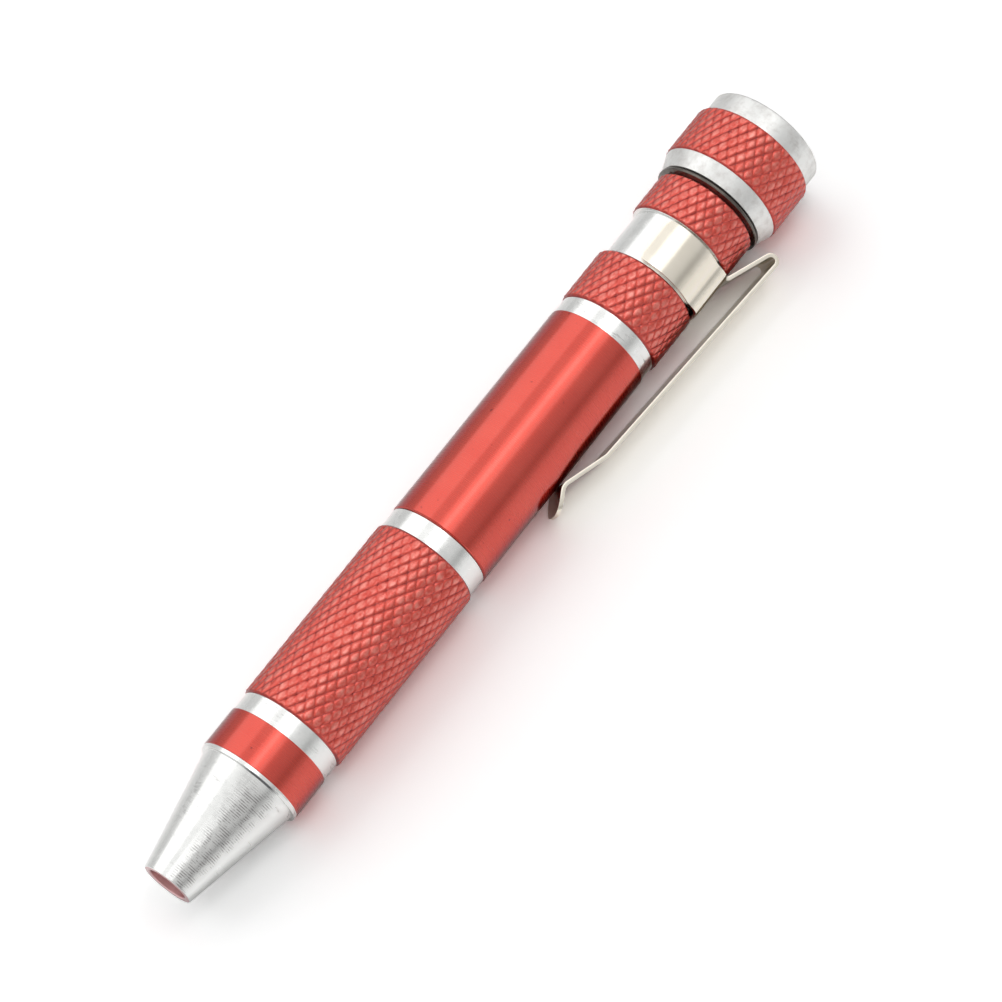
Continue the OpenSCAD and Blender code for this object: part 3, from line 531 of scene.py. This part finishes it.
# Cap plug. A small turned plug that screws into the barrel; its rounded flange is the lip at the cap's seam,
# and its spindle carries the crown. It is coloured a dark, dull grey-brown.

PLUG = 98, 102.1  # from, to
FLANGE_START = 102.54
RIM_PLACE, RIM_RADIUS, RIM_ROUND = 102.91, 6.818, 0.28  # centre and radius of the flange's rounded rim
SPINDLE_RADIUS, SPINDLE_END = 3, 112.44
RING_GROOVE = 111.01, 111.67  # from, to
RING_GROOVE_RADIUS = 2.5


def arc(place, radius, size, first, last, bare=0, steps=6):
    """Rows on an arc of an outline. 0 degrees points away from the bar's axis and 90 towards the cap"""
    angles = [radians(first + (last - first) * i / steps) for i in range(steps + 1)]
    return [Row(place + size * sin(angle), radius + size * cos(angle), bare) for angle in angles]


plug_rows = [
    Row(PLUG[0], 0), Row(PLUG[0], 5.3),
    *thread(PLUG[0] + 0.2, PLUG[1]),
    Row(FLANGE_START, THREAD_ROOT), Row(FLANGE_START, 6.5), Row(FLANGE_START + 0.08, 6.62),
    *arc(RIM_PLACE, RIM_RADIUS, RIM_ROUND, -40, 90),
    Row(RIM_PLACE + RIM_ROUND, SPINDLE_RADIUS), Row(RING_GROOVE[0], SPINDLE_RADIUS),
    Row(RING_GROOVE[0], RING_GROOVE_RADIUS), Row(RING_GROOVE[1], RING_GROOVE_RADIUS),
    Row(RING_GROOVE[1], SPINDLE_RADIUS), Row(SPINDLE_END - 0.15, SPINDLE_RADIUS),
    Row(SPINDLE_END, SPINDLE_RADIUS - 0.15), Row(SPINDLE_END, 0)]
dull_metal = clouded("dark_dull_plug_metal", "#45403C", "#7A756F", grain=1.1, roughness=(0.14, 0.3),
                     relief=(0.2, 0.00003), detail=4.0, tatter=0.6)
plug = turned("cap_plug", plug_rows, dull_metal)
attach(plug, "cap_plug")
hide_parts("end_plug")


# Swivel washer. A thin ring punched from white nylon sheet, on which the crown turns. Nylon lets some light
# in, so it looks soft and milky, with a fine matt grain.

MILKY = {"Subsurface Weight": 0.2, "Subsurface Radius": (0.0008, 0.0008, 0.0007)}
nylon = clouded("white_nylon", "#E4E0D4", "#EFECE3", grain=0.55, roughness=(0.4, 0.6), look=MILKY,
                relief=(0.1, 0.00002))
made_of("swivel_washer", nylon)


# Swivel crown. A wide anodised cap that turns under a fingertip, with a bright bevel in front, a knurl of its
# own, and a bright stepped end, bored for the spindle, the washer and the retaining ring.

CROWN_DIAMONDS = 39
CROWN_KNURL, CROWN_RADIUS = (105.4, 112.1), 7.998
CROWN_ROUND = 0.4  # radius of the knurl's rear edge
BEVEL_FOOT, BEVEL_TOP = (CAP_START + 0.04, 7.06), (105.34, 7.83)
CAP_END = 115
END_BAND_RADIUS, END_ROUND = 7.448, 0.3
DISC_SEAT, DISC_SEAT_RADIUS = 113.5, 6.248
COUNTERBORE_RADIUS, SPINDLE_BORE_RADIUS = 4.3, 3.05
WASHER_SEAT, WASHER_SEAT_RADIUS = 103.72, 4.98

crown_rows = [
    Row(CAP_START, WASHER_SEAT_RADIUS, 1), Row(CAP_START, 6.98, 1), Row(*BEVEL_FOOT, 1), Row(*BEVEL_TOP, 1),
    Row(CROWN_KNURL[0], 7.82, 1), Row(CROWN_KNURL[0], 7.748),
    *knurl(*CROWN_KNURL, CROWN_RADIUS, rear_round=CROWN_ROUND),
    Row(CROWN_KNURL[1], END_BAND_RADIUS, 1), Row(CAP_END - END_ROUND, END_BAND_RADIUS, 1),
    *arc(CAP_END - END_ROUND, END_BAND_RADIUS - END_ROUND, END_ROUND, 0, 90, 1),
    Row(CAP_END, DISC_SEAT_RADIUS, 1), Row(DISC_SEAT, DISC_SEAT_RADIUS), Row(DISC_SEAT, COUNTERBORE_RADIUS),
    Row(RING_GROOVE[0], COUNTERBORE_RADIUS), Row(RING_GROOVE[0], SPINDLE_BORE_RADIUS),
    Row(WASHER_SEAT, SPINDLE_BORE_RADIUS), Row(WASHER_SEAT, WASHER_SEAT_RADIUS),
    Row(CAP_START, WASHER_SEAT_RADIUS)]
crown = turned("swivel_cap", crown_rows, anodised, turned_metal, CROWN_DIAMONDS)
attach(crown, "crown")
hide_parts("swivel_crown")


# Retaining ring. A spring ring, stamped from blued steel strip, that snaps into the spindle's groove and
# keeps the crown on. The blueing is a dark, blue-grey skin with a low sheen.

blued = clouded("blued_spring_steel", "#2E3036", "#4B4C52", grain=0.65, roughness=(0.3, 0.5))
made_of("retaining_ring", blued)


# End disc. A disc of the same bare aluminium as the crown's end, faced on the lathe and pressed flush into
# its seat, where it closes the crown over the retaining ring.

DISC_RADIUS = 6.228

disc_rows = [
    Row(DISC_SEAT, 0), Row(DISC_SEAT, 6.1), Row(DISC_SEAT + 0.1, DISC_RADIUS),
    Row(CAP_END - 0.08, DISC_RADIUS), Row(CAP_END, 6.14), Row(CAP_END, 0)]
disc = turned("cap_end_disc", disc_rows, turned_metal)
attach(disc, "crown")
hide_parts("end_disc")


# Bits. Eight 4 mm hexagon bits of hardened tool steel, sand blasted, with the dull grey of the blasting on
# shank and tip alike, a little lighter where they have rubbed together in their chambers.

BLASTED, RUBBED_STEEL = linear("#8B8984"), linear("#B1AFA9")
BLAST_GRIT, RUBBED_SIZE = 0.16, 2.5  # mm

bit_steel, tree = new_material("blasted_tool_steel")
spot = add(tree, "ShaderNodeTexCoord").outputs["Object"]
grit = add(tree, "ShaderNodeTexNoise", {"Vector": spot, "Scale": 1000 / BLAST_GRIT, "Detail": 2.0})
cloud = add(tree, "ShaderNodeTexNoise", {"Vector": spot, "Scale": 1000 / RUBBED_SIZE, "Detail": 3.0})
colour = add(tree, "ShaderNodeMix", {0: cloud, 6: BLASTED, 7: RUBBED_STEEL}, data_type="RGBA").outputs[2]
gloss = add(tree, "ShaderNodeMapRange", {"Value": grit, "To Min": 0.3, "To Max": 0.55})
bump = add(tree, "ShaderNodeBump", {"Height": grit, "Strength": 0.25, "Distance": 0.00001})
shader = add(tree, "ShaderNodeBsdfPrincipled",
             {"Base Color": colour, "Metallic": 1.0, "Roughness": gloss, "Normal": bump})
add(tree, "ShaderNodeOutputMaterial", {"Surface": shader})
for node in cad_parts:
    if "_bit_" in node:
        made_of(node, bit_steel)


# Spring clip. One strip of nickel-plated spring steel: a C-shaped band snapped into its groove, a tongue that
# jogs over the knurl, a tight U-bend, and a long arm that touches the barrel and flares at its rounded tip.

# Along the strip a point has a place, as above, and a height over the axis in the direction of the arm
STRIP = 0.5  # mm thick
STRIP_RADIUS = 6.368  # of the band, to the middle of the strip
STRIP_START, STRIP_END = 90.55, 96.65  # of the band
WRAP = radians(122)  # each way from the arm
BAND_CORNER = 1.0  # radius of the band's corners
ROUND_AGAIN = radians(46)  # from here on the band is round
BAND_COLUMNS, ARM_COLUMNS, BAND_ROWS = 20, 8, 12
ARM_HALF = 2.7  # half the arm's width
TIP_CORNER = 1.9
DROOP = radians(33)  # the arm hangs this far below the level of the axis
U_PLACE, U_HEIGHT, U_RADIUS, U_STEPS = 102.1, 9.498, 0.75, 16
JOG_START, JOG_END = (96.54, STRIP_RADIUS), (97.0, 6.86)
JOG_BEND, ARM_BEND = 0.3, 1.4  # radii
FIRST_BEND, TOE, TIP = (70.5, 8.58), (64.4, 6.76), (61.4, 8.488)
RUN_STEP = 1.2  # rough length of the mesh's steps along a straight run
EDGE_ROUND = 0.23  # radius of the strip's tumbled edges
ROUNDING = [radians(15 * i) for i in range(7)]  # steps of a quarter turn
clip_out = Vector((0, cos(DROOP), -sin(DROOP)))
clip_side = Vector((0, sin(DROOP), cos(DROOP)))
arm_edge = atan2(ARM_HALF, STRIP_RADIUS)  # angle from the arm's middle to its edge


def bent(points, radius, steps):
    """Path through the points, given as (place, height), with its corners rounded"""
    path = [Vector(points[0])]
    for before, corner, after in zip(points, points[1:], points[2:]):
        before, corner, after = Vector(before), Vector(corner), Vector(after)
        back, ahead = (before - corner).normalized(), (after - corner).normalized()
        half = back.angle(ahead) / 2
        centre = corner + (back + ahead).normalized() * radius / sin(half)
        start = corner + back * radius / tan(half) - centre
        stop = corner + ahead * radius / tan(half) - centre
        for i in range(steps + 1):
            path.append(centre + start.slerp(stop, i / steps).normalized() * radius)
    path.append(Vector(points[-1]))
    return path


def slope_to_bend(point, side):
    """Slope of a straight run from a point to the U-bend, met on its inner (-1) or outer (1) side"""
    reach = Vector((U_PLACE, U_HEIGHT)) - Vector(point)
    return atan2(reach.y, reach.x) + side * asin(U_RADIUS / reach.length)


def jog(place):
    """Height of the strip's middle where it leaves the band"""
    share = max(0, min(1, (place - JOG_START[0]) / (JOG_END[0] - JOG_START[0])))
    return JOG_START[1] + share * (JOG_END[1] - JOG_START[1])


def band_height(angle, height):
    """The band is pressed flat where the tongue leaves it, and eases back to its round on both sides"""
    share = max(0, min(1, (abs(angle) - arm_edge) / (ROUND_AGAIN - arm_edge)))
    share = share * share * (3 - 2 * share)
    return height / cos(min(abs(angle), ROUND_AGAIN)) * (1 - share) + STRIP_RADIUS * share


# The strip's middle line, from the band over the tongue and the U-bend to the tip
slope = slope_to_bend(JOG_END, -1)
arm_slope = slope_to_bend(FIRST_BEND, 1)
tongue_end = Vector((U_PLACE + U_RADIUS * sin(slope), U_HEIGHT - U_RADIUS * cos(slope)))
path = bent([(STRIP_END, jog(STRIP_END)), JOG_END, tongue_end], JOG_BEND, 4)
for i in range(1, U_STEPS + 1):
    angle = slope - pi / 2 + (pi + arm_slope - slope) * i / U_STEPS
    path.append(Vector((U_PLACE + U_RADIUS * cos(angle), U_HEIGHT + U_RADIUS * sin(angle))))
path += bent([path[-1], FIRST_BEND, TOE, TIP], ARM_BEND, 8)[1:]

# Every long straight run gets points, and the tip gets the ones that its round corners need
spaced = [path[0]]
for point in path[1:]:
    before = spaced[-1]
    parts = max(1, round((point - before).length / RUN_STEP))
    spaced += [before.lerp(point, i / parts) for i in range(1, parts + 1)]
tip = spaced[-1]
tip_way = (tip - spaced[-2]).normalized()
while (spaced[-1] - tip).length < TIP_CORNER:
    spaced.pop()
spaced += [tip - tip_way * TIP_CORNER * (1 - sin(turn)) for turn in ROUNDING]

# Columns of the band run round it from one end to the other, and the arm carries the middle ones on
columns = [WRAP - BAND_CORNER * (1 - cos(turn)) / STRIP_RADIUS for turn in ROUNDING]
columns += [arm_edge + (columns[-1] - arm_edge) * (1 - i / BAND_COLUMNS) for i in range(1, BAND_COLUMNS)]
columns += [arm_edge * (1 - i / ARM_COLUMNS) for i in range(ARM_COLUMNS + 1)]
columns += [-angle for angle in reversed(columns[:-1])]

sheet = bmesh.new()
band_middle, band_half = (STRIP_START + STRIP_END) / 2, (STRIP_END - STRIP_START) / 2
band = []
for i in range(BAND_ROWS + 1):
    line = []
    for angle in columns:
        short = max(BAND_CORNER - STRIP_RADIUS * (WRAP - abs(angle)), 0)
        half = band_half - BAND_CORNER + sqrt(BAND_CORNER ** 2 - short ** 2)
        place = band_middle + half * (2 * i / BAND_ROWS - 1)
        out = clip_out * cos(angle) + clip_side * sin(angle)
        height = band_height(angle, jog(place) if abs(angle) <= arm_edge else STRIP_RADIUS)
        line.append(sheet.verts.new(Vector((-place, 0, 0)) + out * height))
    band.append(line)
for line, after in zip(band, band[1:]):
    for i in range(len(columns) - 1):
        sheet.faces.new((line[i], line[i + 1], after[i + 1], after[i]))

first = columns.index(arm_edge)
last = len(columns) - 1 - first
line = band[-1][first:last + 1]
for i in range(1, len(spaced)):
    near_tip = i > len(spaced) - len(ROUNDING) - 2
    short = max(TIP_CORNER - (tip - spaced[i]).length, 0) if near_tip else 0
    half = ARM_HALF - TIP_CORNER + sqrt(TIP_CORNER ** 2 - short ** 2)
    middle = Vector((-spaced[i].x, 0, 0)) + clip_out * spaced[i].y
    after = []
    for angle in columns[first:last + 1]:
        after.append(sheet.verts.new(middle + clip_side * (half * tan(angle) / tan(arm_edge))))
    for j in range(len(after) - 1):
        sheet.faces.new((line[j], line[j + 1], after[j + 1], after[j]))
    line = after
for vertex in sheet.verts:
    vertex.co /= 1000
mesh = bpy.data.meshes.new("spring_clip")
sheet.to_mesh(mesh)
sheet.free()
clip = bpy.data.objects.new("spring_clip", mesh)
bpy.context.collection.objects.link(clip)
thick = clip.modifiers.new("thickness", "SOLIDIFY")
thick.thickness, thick.offset, thick.use_even_offset = STRIP / 1000, 0, True
rounded = clip.modifiers.new("edges", "BEVEL")
rounded.width, rounded.segments, rounded.angle_limit = EDGE_ROUND / 1000, 5, radians(60)

# Nickel plate is a mirror with a warm, faintly yellow tint, clouded a little by wear
nickel = clouded("nickel_plated_spring_steel", "#E6DECE", "#F3ECDF", grain=2.0, roughness=(0.13, 0.24),
                 relief=(0.1, 0.00005))
mesh.materials.append(nickel)
for face in mesh.polygons:
    face.use_smooth = True
made_real(clip)
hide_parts("clip_band", "clip_arm")
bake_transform(clip)


# Floor. A sheet of white card, on which the pen lies on the front edge of its knurl and on its crown. Card is
# matt, so it shows only the soft shadow.

FLOOR_SIZE = 3.0  # m, each way
GRIP_REST, CROWN_REST = 22.75, 105.6  # mm, places where the knurl and the crown touch the card
SEEN, SCATTERED = 1.5, 0.87  # whiteness of the card to the camera and to light that it scatters
SHOWN_REACH = 50  # mm each way over which the card is graded in reflections
# In the metal the card shows painted light that falls off to the dim room, and a painted shadow beneath
# the pen: mm across the pen, whiteness
PAINTED_CARD_REFLECTION = ((-46, 1.0), (-26, 1.2), (-12, 1.36), (-6, 1.25), (3, 0.76), (6, 0.96), (8, 1.25), (12, 1.5),
             (25, 1.4), (46, 1.3))


def graded(tree, source, lowest, highest, levels):
    """A ramp of greys over a source that runs from its lowest to its highest value"""
    share = add(tree, "ShaderNodeMapRange", {"Value": source, "From Min": lowest, "From Max": highest})
    ramp = add(tree, "ShaderNodeValToRGB", {0: share})
    steps = ramp.color_ramp.elements
    steps[0].position, steps[1].position = levels[0][0], levels[-1][0]
    for at, level in levels[1:-1]:
        steps.new(at)
    for step, (at, level) in zip(steps, levels):
        step.color = (level, level, level, 1)
    return ramp


card, tree = new_material("white_card")
seen_by = add(tree, "ShaderNodeLightPath").outputs
ground = add(tree, "ShaderNodeTexCoord").outputs["Object"]
across = add(tree, "ShaderNodeSeparateXYZ", {0: ground}).outputs["Y"]
fade = graded(tree, across, -SHOWN_REACH / 1000, SHOWN_REACH / 1000,
              [((mm + SHOWN_REACH) / (2 * SHOWN_REACH), level) for mm, level in PAINTED_CARD_REFLECTION])
fade = add(tree, "ShaderNodeMix", {0: seen_by["Is Glossy Ray"], 2: SCATTERED, 3: fade}, data_type="FLOAT")
level = add(tree, "ShaderNodeMix", {0: seen_by["Is Camera Ray"], 2: fade, 3: SEEN}, data_type="FLOAT")
card_colour = add(tree, "ShaderNodeCombineColor", {0: level, 1: level, 2: level})
diffuse = add(tree, "ShaderNodeBsdfDiffuse", {"Color": card_colour})
# Far from the pen the camera sees no card but its white surroundings
distance = add(tree, "ShaderNodeVectorMath", {0: ground}, operation="LENGTH").outputs["Value"]
away = add(tree, "ShaderNodeMapRange", {"Value": distance, "From Min": 0.25, "From Max": 0.5})
beyond = add(tree, "ShaderNodeMath", {0: away, 1: seen_by["Is Camera Ray"]}, operation="MULTIPLY")
surroundings = add(tree, "ShaderNodeEmission", {"Color": (1, 1, 1, 1)})
shader = add(tree, "ShaderNodeMixShader", {0: beyond, 1: diffuse, 2: surroundings})
add(tree, "ShaderNodeOutputMaterial", {"Surface": shader})

rise = (CROWN_RADIUS - KNURL_RADIUS) / (CROWN_REST - GRIP_REST)
corners = ((-FLOOR_SIZE, -FLOOR_SIZE), (FLOOR_SIZE, -FLOOR_SIZE), (FLOOR_SIZE, FLOOR_SIZE),
           (-FLOOR_SIZE, FLOOR_SIZE))
mesh = bpy.data.meshes.new("floor")
mesh.from_pydata([(x, y, -KNURL_RADIUS / 1000 - rise * (-x - GRIP_REST / 1000)) for x, y in corners], [],
                 [(0, 1, 2, 3)])
mesh.materials.append(card)
floor = bpy.data.objects.new("floor", mesh)
bpy.context.collection.objects.link(floor)


# Lamps. Two long softboxes hang along the pen, one in front and one above. The upper one has a gap towards
# the nose, and a narrow tube in it adds a brighter line.

LAMP_AIM = Vector((-0.0575, 0, 0))
LAMP_DISTANCE = 0.9  # m
# Name, lean from upright in degrees, width in m, its two ends along the pen in m, and brightness
LAMPS = (("front_softbox", -41, 0.75, -0.65, 0.65, 0.86), ("top_softbox", 18, 0.516, -0.65, 0.03, 0.8),
         ("nose_softbox", 18, 0.516, 0.33, 0.65, 0.85), ("tube", 15, 0.15, -0.65, 0.03, 1.2))

for name, lean, width, first, last, radiance in LAMPS:
    lamp = bpy.data.lights.new(name, "AREA")
    lamp.shape, lamp.size, lamp.size_y = "RECTANGLE", last - first, width
    lamp.energy = radiance * pi * width * (last - first)
    hung = bpy.data.objects.new(name, lamp)
    bpy.context.collection.objects.link(hung)
    along = Vector((1, 0, 0))
    toward = Vector((0, sin(radians(lean)), cos(radians(lean))))
    place = LAMP_AIM + toward * LAMP_DISTANCE + along * (first + last) / 2
    facing = Matrix((along, toward.cross(along), toward)).transposed().to_4x4()
    hung.matrix_world = Matrix.Translation(place) @ facing


# Room. Grey walls that the metal mirrors and the camera doesn't see, brightest overhead and darkest low on
# the clip's side. The boxes light the card more than the room does, so that the pen's shadow stands out.

ROOM_SHARE = 0.55  # of the room's light that reaches matt surfaces
# Lean from upright in degrees, towards the clip, and brightness
WALLS = ((-90, 0.62), (-82, 0.68), (-68, 0.7), (-60, 0.55), (-26, 0.6), (-17, 0.95), (-8, 1.1), (2, 0.9),
         (8, 0.66), (32, 0.76), (46, 0.75), (64, 0.68), (76, 0.4), (84, 0.62), (90, 0.78))

world = bpy.data.worlds.new("room")
bpy.context.scene.world = world
world.use_nodes = True
tree = world.node_tree
tree.nodes.clear()
direction = add(tree, "ShaderNodeTexCoord").outputs["Generated"]
direction = add(tree, "ShaderNodeSeparateXYZ", {0: direction}).outputs
lean = add(tree, "ShaderNodeMath", {0: direction["Y"], 1: direction["Z"]}, operation="ARCTAN2")
walls = graded(tree, lean, -pi / 2, pi / 2, [((degrees + 90) / 180, level) for degrees, level in WALLS])
seen_by = add(tree, "ShaderNodeLightPath").outputs
matt = add(tree, "ShaderNodeMapRange",
           {"Value": seen_by["Is Diffuse Ray"], "To Min": 1.0, "To Max": ROOM_SHARE})
seen = add(tree, "ShaderNodeMix", {0: seen_by["Is Camera Ray"], 6: walls, 7: (1, 1, 1, 1)}, data_type="RGBA")
room = add(tree, "ShaderNodeBackground", {"Color": seen.outputs[2], "Strength": matt})
add(tree, "ShaderNodeOutputWorld", {"Surface": room})


# Camera. It looks down on the pen from the clip's side and a little from the nose, and is rolled until the
# pen lies across the picture from corner to corner.

LENS, SENSOR = 143.7, 36  # mm
# Towards the nose, towards the clip, and about its own axis
TILT, LEAN, ROLL = radians(16.99), radians(28), radians(38.567)
LOOK_AT = Vector((-0.05884, 0, 0))
SHIFT, DISTANCE = 0.002432, 0.46013  # m, across the pen and away from it

back = Vector((sin(TILT), cos(TILT) * sin(LEAN), cos(TILT) * cos(LEAN)))
cap_way = (Vector((-1, 0, 0)) + back * back.x).normalized()
side_way = cap_way.cross(back)
camera_right = side_way * cos(ROLL) + cap_way * sin(ROLL)
camera_up = cap_way * cos(ROLL) - side_way * sin(ROLL)
camera_place = LOOK_AT + side_way * SHIFT + back * DISTANCE
lens = bpy.data.cameras.new("camera")
lens.lens, lens.sensor_width = LENS, SENSOR
camera = bpy.data.objects.new("camera", lens)
bpy.context.collection.objects.link(camera)
facing = Matrix((camera_right, camera_up, back)).transposed().to_4x4()
camera.matrix_world = Matrix.Translation(camera_place) @ facing
bpy.context.scene.camera = camera
bpy.context.scene.view_settings.view_transform = "Standard"
